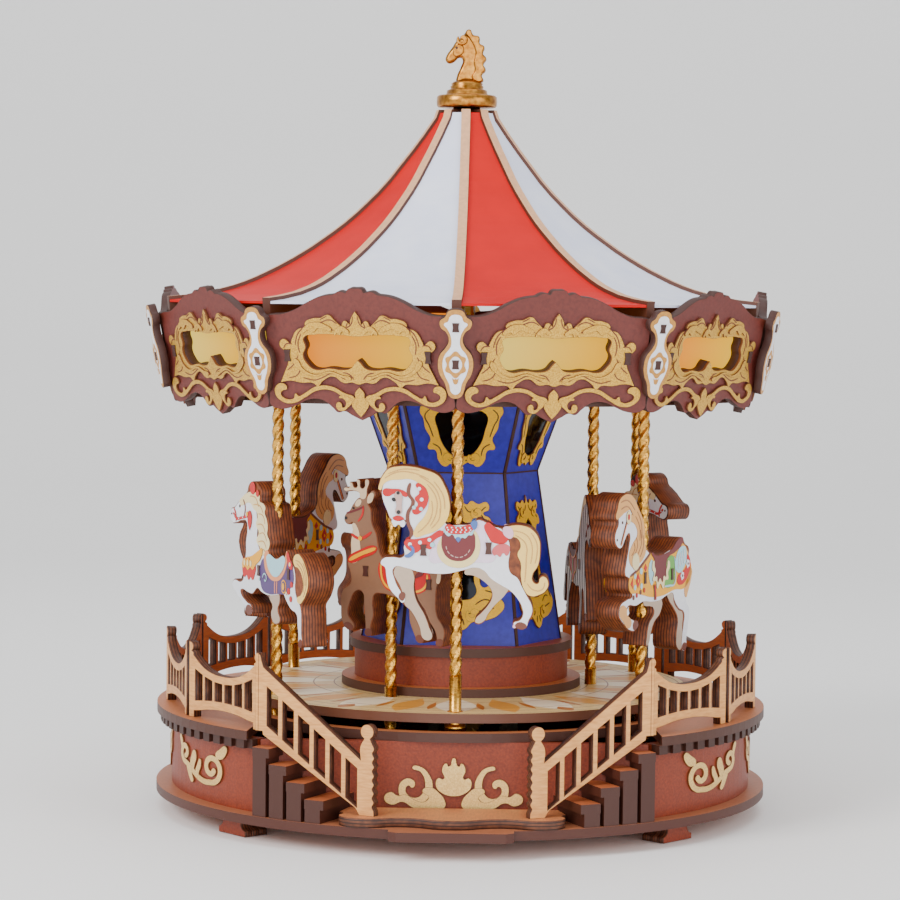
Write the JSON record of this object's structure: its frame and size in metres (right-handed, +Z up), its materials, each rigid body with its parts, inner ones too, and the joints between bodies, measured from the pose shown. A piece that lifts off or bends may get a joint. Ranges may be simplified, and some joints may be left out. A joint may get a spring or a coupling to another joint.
{
  "type": "wind-up carousel music box",
  "caption": "Wind-up music box in the form of a carousel: a turning canopy, column and stage carry animals on sliding twisted poles above a fenced base with stairs.",
  "frame": {"origin": "bottom centre of the feet, on the carousel axis", "axes": "+Z up along the carousel axis; the stairs and the front ornament face -Y; +X is to the right of someone facing the front"},
  "size_m": [0.2106, 0.2204, 0.265],
  "materials": {
    "pale_ply": "satin",
    "mahogany_board": "satin",
    "deck_board": "satin",
    "marquetry": "satin",
    "gilt": "satin",
    "pole_gold": "polished",
    "blue_board": "satin",
    "dark_mirror": "gloss",
    "red_sheet": "satin",
    "white_sheet": "satin",
    "plum_board": "satin",
    "lamp_glow": "satin",
    "plaque_print": "satin",
    "animal_print": "satin",
    "deer_print": "satin",
    "zebra_print": "satin",
    "movement_steel": "brushed",
    "movement_brass": "polished",
    "cast_bedplate": "satin",
    "tray_plastic": "matte"
  },
  "bodies": {
    "base": {"feet": "mahogany_board", "base_plate": "mahogany_board", "base_wall": "mahogany_board", "front_panel": "mahogany_board", "upper_deck": "deck_board", "deck_moulding": "mahogany_board", "deck_brackets": "mahogany_board", "landing_board": "mahogany_board", "stair_treads": "deck_board", "stair_rails": "pale_ply", "fence_panels": "pale_ply", "base_scrollwork": "gilt", "movement_bedplate": "cast_bedplate", "music_comb": "movement_steel", "movement_screws": "movement_steel"},
    "carousel": {"spring_barrel": "movement_brass", "spindle": "movement_steel", "turntable": "marquetry", "drum_boards": "mahogany_board", "drum_wall": "mahogany_board", "battery_tray": "tray_plastic", "column_boards": "blue_board", "column_mirrors": "dark_mirror", "column_cartouches": "gilt", "canopy_floor": "deck_board", "canopy_ribs": "deck_board", "roof_panels_red": "red_sheet", "roof_panels_white": "white_sheet", "fascia_boards": "plum_board", "fascia_windows": "lamp_glow", "fascia_frames": "gilt", "corner_plaques": "plaque_print", "lamp_ring": "lamp_glow", "roof_cap": "gilt", "horse_head_finial": "gilt"},
    "winding_key": {"winding_key": "movement_steel"},
    "music_cylinder": {"music_cylinder": "movement_brass"},
    "governor": {"governor_fan": "movement_steel"},
    "white_horse_front_rider": {"outer_pole_1": "pole_gold", "white_horse_front": "animal_print"},
    "blanket_horse_right_rider": {"outer_pole_2": "pole_gold", "blanket_horse_right": "animal_print"},
    "pompom_horse_right_rider": {"outer_pole_3": "pole_gold", "pompom_horse_right": "animal_print"},
    "white_horse_rear_rider": {"outer_pole_4": "pole_gold", "white_horse_rear": "animal_print"},
    "blanket_horse_left_rider": {"outer_pole_5": "pole_gold", "blanket_horse_left": "animal_print"},
    "pompom_horse_left_rider": {"outer_pole_6": "pole_gold", "pompom_horse_left": "animal_print"},
    "deer_front_rider": {"inner_pole_1": "pole_gold", "deer_front": "deer_print"},
    "zebra_rider": {"inner_pole_2": "pole_gold", "zebra": "zebra_print"},
    "deer_rear_rider": {"inner_pole_3": "pole_gold", "deer_rear": "deer_print"}
  },
  "joints": [
    {"name": "carousel_spin", "type": "hinge", "parent": "base", "child": "carousel", "pos_m": [0, 0, 0.0387], "axis": [0, 0, 1], "continuous": true},
    {"name": "cylinder_spin", "type": "hinge", "parent": "base", "child": "music_cylinder", "pos_m": [0, 0.02, 0.0254], "axis": [0, 1, 0], "continuous": true},
    {"name": "governor_spin", "type": "hinge", "parent": "base", "child": "governor", "pos_m": [-0.01, 0.03, 0.0254], "axis": [0, 1, 0], "continuous": true},
    {"name": "key_wind", "type": "hinge", "parent": "base", "child": "winding_key", "pos_m": [0, 0, 0.005], "axis": [0, 0, 1], "continuous": true},
    {"name": "white_horse_front_lift", "type": "slide", "parent": "carousel", "child": "white_horse_front_rider", "axis": [0, 0, 1], "range_m": [-0.011, 0.001]},
    {"name": "blanket_horse_right_lift", "type": "slide", "parent": "carousel", "child": "blanket_horse_right_rider", "axis": [0, 0, 1], "range_m": [-0.002, 0.01]},
    {"name": "pompom_horse_right_lift", "type": "slide", "parent": "carousel", "child": "pompom_horse_right_rider", "axis": [0, 0, 1], "range_m": [-0.006, 0.006]},
    {"name": "white_horse_rear_lift", "type": "slide", "parent": "carousel", "child": "white_horse_rear_rider", "axis": [0, 0, 1], "range_m": [-0.009, 0.003]},
    {"name": "blanket_horse_left_lift", "type": "slide", "parent": "carousel", "child": "blanket_horse_left_rider", "axis": [0, 0, 1], "range_m": [-0.008, 0.004]},
    {"name": "pompom_horse_left_lift", "type": "slide", "parent": "carousel", "child": "pompom_horse_left_rider", "axis": [0, 0, 1], "range_m": [-0.005, 0.007]},
    {"name": "deer_front_lift", "type": "slide", "parent": "carousel", "child": "deer_front_rider", "axis": [0, 0, 1], "range_m": [-0.003, 0.009]},
    {"name": "zebra_lift", "type": "slide", "parent": "carousel", "child": "zebra_rider", "axis": [0, 0, 1], "range_m": [-0.005, 0.007]},
    {"name": "deer_rear_lift", "type": "slide", "parent": "carousel", "child": "deer_rear_rider", "axis": [0, 0, 1], "range_m": [-0.007, 0.005]}
  ],
  "couplings": [
    {"joint": "cylinder_spin", "follows": "carousel_spin", "ratio": 3},
    {"joint": "governor_spin", "follows": "carousel_spin", "ratio": -12}
  ]
}
